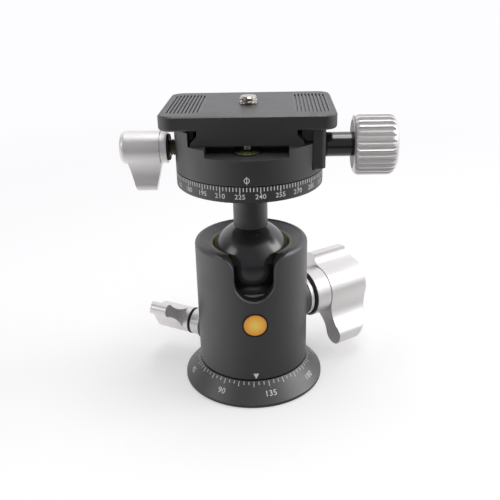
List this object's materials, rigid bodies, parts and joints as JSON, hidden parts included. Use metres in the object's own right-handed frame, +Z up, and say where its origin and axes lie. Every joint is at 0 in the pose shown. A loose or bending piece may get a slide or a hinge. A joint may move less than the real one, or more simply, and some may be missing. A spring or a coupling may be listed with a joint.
{
  "type": "tripod ball head",
  "caption": "Panning tripod ball head with a drop notch, lever lock knobs, a graduated top pan ring and a screw clamp holding a dovetail camera plate.",
  "frame": {"origin": "centre of the base's underside, on the panning axis", "axes": "+Z up the head along the camera screw, +X along the clamp screw towards its knob, -Y towards the drop notch at the front"},
  "size_m": [0.0983, 0.0652, 0.1107],
  "materials": {
    "black_aluminium": "satin black anodised",
    "gloss_black": "polished black",
    "silver_aluminium": "satin, clear anodised",
    "steel": "turned",
    "brass": "turned",
    "nylon": "matte",
    "black_rubber": "matte",
    "black_plastic": "matte",
    "amber_enamel": "gloss",
    "green_liquid": "clear liquid",
    "clear": "clear"
  },
  "bodies": {
    "base": {"base_plate": "black_aluminium", "base_thread_bush": "steel", "base_screw_1": "steel", "base_screw_2": "steel", "base_screw_3": "steel", "pan_spindle": "black_aluminium", "spindle_retainer": "steel", "spindle_screw": "steel"},
    "housing": {"housing": "black_aluminium", "housing_block": "black_aluminium", "badge_bezel": "black_plastic", "badge_disc": "amber_enamel", "upper_ball_ring": "brass", "main_lock_bush": "steel", "main_lock_flange": "silver_aluminium", "pan_lock_collar": "silver_aluminium"},
    "ball_cup": {"ball_cup": "nylon"},
    "ball": {"ball": "gloss_black", "stem": "black_aluminium", "graduated_ring": "black_aluminium", "ring_retainer": "black_aluminium", "ring_screw": "steel"},
    "pressure_piston": {"pressure_piston": "silver_aluminium"},
    "main_lock_pin": {"main_lock_pin": "steel"},
    "main_lock_knob": {"main_lock_ring": "black_rubber", "main_lock_collar": "silver_aluminium", "main_lock_knob": "silver_aluminium"},
    "pan_lock_pin": {"pan_lock_pad": "nylon", "pan_lock_pin": "steel"},
    "pan_lock_knob": {"pan_lock_ring": "black_rubber", "pan_lock_knob": "silver_aluminium"},
    "clamp": {"clamp_body": "black_aluminium", "clamp_cap": "black_aluminium", "level_cup": "black_plastic", "level_liquid": "green_liquid", "level_bubble": "clear", "level_lens": "clear"},
    "ring_lock_pin": {"ring_lock_pad": "nylon", "ring_lock_pin": "steel"},
    "ring_lock_knob": {"ring_lock_washer": "black_rubber", "ring_lock_collar": "silver_aluminium", "ring_lock_knob": "silver_aluminium"},
    "jaw": {"moving_jaw": "black_aluminium", "jaw_guide_pin_1": "steel", "jaw_guide_pin_2": "steel"},
    "clamp_knob": {"clamp_screw": "steel", "clamp_washer": "black_plastic", "clamp_sleeve": "gloss_black", "clamp_knob_insert": "black_aluminium", "clamp_knob": "silver_aluminium"},
    "plate": {"quick_release_plate": "black_aluminium", "grip_pad_left": "black_rubber", "grip_pad_right": "black_rubber"},
    "camera_screw": {"camera_screw": "steel"}
  },
  "joints": [
    {"name": "base_pan", "type": "hinge", "parent": "base", "child": "housing", "pos_m": [0, 0, 0.0082], "axis": [0, 0, 1], "continuous": true},
    {"name": "ball_side_tilt", "type": "hinge", "parent": "housing", "child": "ball_cup", "pos_m": [0, 0, 0.0498], "axis": [-0.0785, 0.9969, 0], "range_deg": [-35, 35]},
    {"name": "ball_drop_tilt", "type": "hinge", "parent": "ball_cup", "child": "ball", "pos_m": [0, 0, 0.0498], "axis": [0.9969, 0.0785, 0], "range_deg": [-20, 90]},
    {"name": "head_pan", "type": "hinge", "parent": "ball", "child": "clamp", "pos_m": [0, 0, 0.0866], "axis": [0, 0, 1], "continuous": true},
    {"name": "main_lock_turn", "type": "hinge", "parent": "housing", "child": "main_lock_knob", "pos_m": [0.02678, 0.01841, 0.0276], "axis": [0.8241, 0.5664, 0], "range_deg": [0, 150]},
    {"name": "main_lock_pin_slide", "type": "slide", "parent": "housing", "child": "main_lock_pin", "axis": [0.8241, 0.5664, 0], "range_m": [0, 0.00075]},
    {"name": "pressure_piston_slide", "type": "slide", "parent": "housing", "child": "pressure_piston", "axis": [0, 0, -1], "range_m": [0, 0.00035]},
    {"name": "pan_lock_turn", "type": "hinge", "parent": "housing", "child": "pan_lock_knob", "pos_m": [-0.02527, 0.01205, 0.0161], "axis": [-0.9026, 0.4305, 0], "range_deg": [0, 120]},
    {"name": "pan_lock_pin_slide", "type": "slide", "parent": "housing", "child": "pan_lock_pin", "axis": [-0.9026, 0.4305, 0], "range_m": [0, 0.0004]},
    {"name": "ring_lock_turn", "type": "hinge", "parent": "clamp", "child": "ring_lock_knob", "pos_m": [-0.0316, 0, 0.0937], "axis": [-1, 0, 0], "range_deg": [0, 120]},
    {"name": "ring_lock_pin_slide", "type": "slide", "parent": "clamp", "child": "ring_lock_pin", "axis": [-1, 0, 0], "range_m": [0, 0.0004]},
    {"name": "jaw_slide", "type": "slide", "parent": "clamp", "child": "jaw", "axis": [1, 0, 0], "range_m": [0, 0.004]},
    {"name": "clamp_knob_turn", "type": "hinge", "parent": "jaw", "child": "clamp_knob", "pos_m": [0.0368, 0, 0.094], "axis": [1, 0, 0], "range_deg": [0, 1440]},
    {"name": "plate_slide", "type": "slide", "parent": "clamp", "child": "plate", "axis": [0, 1, 0], "range_m": [-0.02, 0.0036]},
    {"name": "camera_screw_turn", "type": "hinge", "parent": "plate", "child": "camera_screw", "pos_m": [0, 0.0049, 0.1], "axis": [0, 0, 1], "continuous": true}
  ],
  "couplings": [
    {"joint": "main_lock_turn", "follows": "pressure_piston_slide", "rad_per_m": 7479.2},
    {"joint": "main_lock_pin_slide", "follows": "pressure_piston_slide", "ratio": 2.1426},
    {"joint": "pan_lock_turn", "follows": "pan_lock_pin_slide", "rad_per_m": 5235.5},
    {"joint": "ring_lock_turn", "follows": "ring_lock_pin_slide", "rad_per_m": 5235.5},
    {"joint": "clamp_knob_turn", "follows": "jaw_slide", "rad_per_m": 6282.6}
  ]
}
